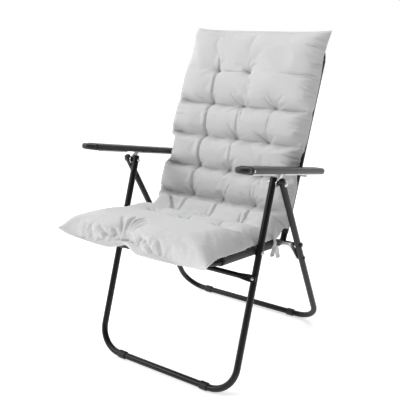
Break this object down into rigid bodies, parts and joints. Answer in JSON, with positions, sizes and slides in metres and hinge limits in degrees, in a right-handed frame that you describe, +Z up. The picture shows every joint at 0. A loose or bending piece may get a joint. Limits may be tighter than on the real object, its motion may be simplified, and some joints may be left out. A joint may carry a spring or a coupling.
{
  "type": "reclining folding chair",
  "caption": "Folding garden armchair: two pivoted steel leg frames, sling seat and reclining back under a tufted cushion, with racked armrests that hold the recline.",
  "frame": {"origin": "on the floor under the middle of the chair's outside box", "axes": "+X to the sitter's left, +Y to the rear, +Z up"},
  "size_m": [0.589, 0.7582, 1.0225],
  "materials": {
    "black_powder_coat": "semi-gloss",
    "black_plastic": "satin",
    "zinc_plate": "satin",
    "sling_fabric": "matte",
    "cushion_cloth": "matte"
  },
  "bodies": {
    "front_legs": {"front_leg_frame": "black_powder_coat", "front_crossbar": "black_powder_coat", "crossbar_screws": "zinc_plate", "front_feet": "black_plastic", "front_leg_plugs": "black_plastic", "top_pivot_bolts": "zinc_plate", "seat_pivot_bolts": "zinc_plate", "seat_pivot_washers": "black_plastic"},
    "rear_legs": {"rear_leg_frame": "black_powder_coat", "rear_feet": "black_plastic", "rear_leg_plugs": "black_plastic", "back_pivot_bolts": "black_powder_coat", "back_pivot_spacers": "black_plastic", "link_bolts": "black_powder_coat"},
    "links": {"link_left": "zinc_plate", "link_right": "zinc_plate"},
    "seat": {"seat_frame": "black_powder_coat", "seat_rear_crossbar": "black_powder_coat", "seat_rail_plugs": "black_plastic", "seat_link_studs": "zinc_plate", "seat_sling": "sling_fabric", "seat_cushion": "cushion_cloth", "cushion_ties": "cushion_cloth"},
    "back": {"back_frame": "black_powder_coat", "back_lower_crossbar": "black_powder_coat", "back_rail_plugs": "black_plastic", "rack_pins": "zinc_plate", "back_sling": "sling_fabric", "back_cushion": "cushion_cloth"},
    "bracket_left": {"armrest_bush_left": "black_plastic", "armrest_bracket_left": "zinc_plate"},
    "armrest_left": {"armrest_cover_left": "black_plastic", "armrest_cap_left": "black_plastic", "armrest_rack_left": "zinc_plate", "armrest_pin_left": "zinc_plate", "armrest_rivets_left": "zinc_plate"},
    "bracket_right": {"armrest_bush_right": "black_plastic", "armrest_bracket_right": "zinc_plate"},
    "armrest_right": {"armrest_cover_right": "black_plastic", "armrest_cap_right": "black_plastic", "armrest_rack_right": "zinc_plate", "armrest_pin_right": "zinc_plate", "armrest_rivets_right": "zinc_plate"}
  },
  "joints": [
    {"name": "fold", "type": "hinge", "parent": "front_legs", "child": "rear_legs", "pos_m": [0, -0.0284, 0.6], "axis": [1, 0, 0], "range_deg": [-35.5, 0], "deforming": ["seat_cushion", "cushion_ties"]},
    {"name": "seat_fold", "type": "hinge", "parent": "front_legs", "child": "seat", "pos_m": [0, -0.09852, 0.40736], "axis": [1, 0, 0], "range_deg": [-89, 0]},
    {"name": "link_fold", "type": "hinge", "parent": "rear_legs", "child": "links", "pos_m": [0, 0.13743, 0.31621], "axis": [1, 0, 0], "range_deg": [0, 115.12]},
    {"name": "back_tilt", "type": "hinge", "parent": "rear_legs", "child": "back", "pos_m": [0, 0.1058, 0.37034], "axis": [-1, 0, 0], "range_deg": [-40, 22], "deforming": ["back_cushion"]},
    {"name": "armrest_swing_left", "type": "hinge", "parent": "rear_legs", "child": "bracket_left", "pos_m": [0, -0.0284, 0.6], "axis": [1, 0, 0], "range_deg": [0, 105.91]},
    {"name": "armrest_follow_left", "type": "hinge", "parent": "bracket_left", "child": "armrest_left", "pos_m": [0, 0.00798, 0.62579], "axis": [-1, 0, 0], "range_deg": [-12, 6.6]},
    {"name": "armrest_swing_right", "type": "hinge", "parent": "rear_legs", "child": "bracket_right", "pos_m": [0, -0.0284, 0.6], "axis": [1, 0, 0], "range_deg": [0, 105.91]},
    {"name": "armrest_follow_right", "type": "hinge", "parent": "bracket_right", "child": "armrest_right", "pos_m": [0, 0.00798, 0.62579], "axis": [-1, 0, 0], "range_deg": [-12, 6.6]}
  ],
  "couplings": [
    {"joint": "seat_fold", "follows": "fold", "ratio": 2.507},
    {"joint": "link_fold", "follows": "fold", "ratio": -3.2428},
    {"joint": "armrest_follow_left", "follows": "back_tilt", "ratio": 0.3},
    {"joint": "armrest_swing_left", "follows": "fold", "ratio": -2.9831},
    {"joint": "armrest_follow_right", "follows": "back_tilt", "ratio": 0.3},
    {"joint": "armrest_swing_right", "follows": "fold", "ratio": -2.9831}
  ]
}
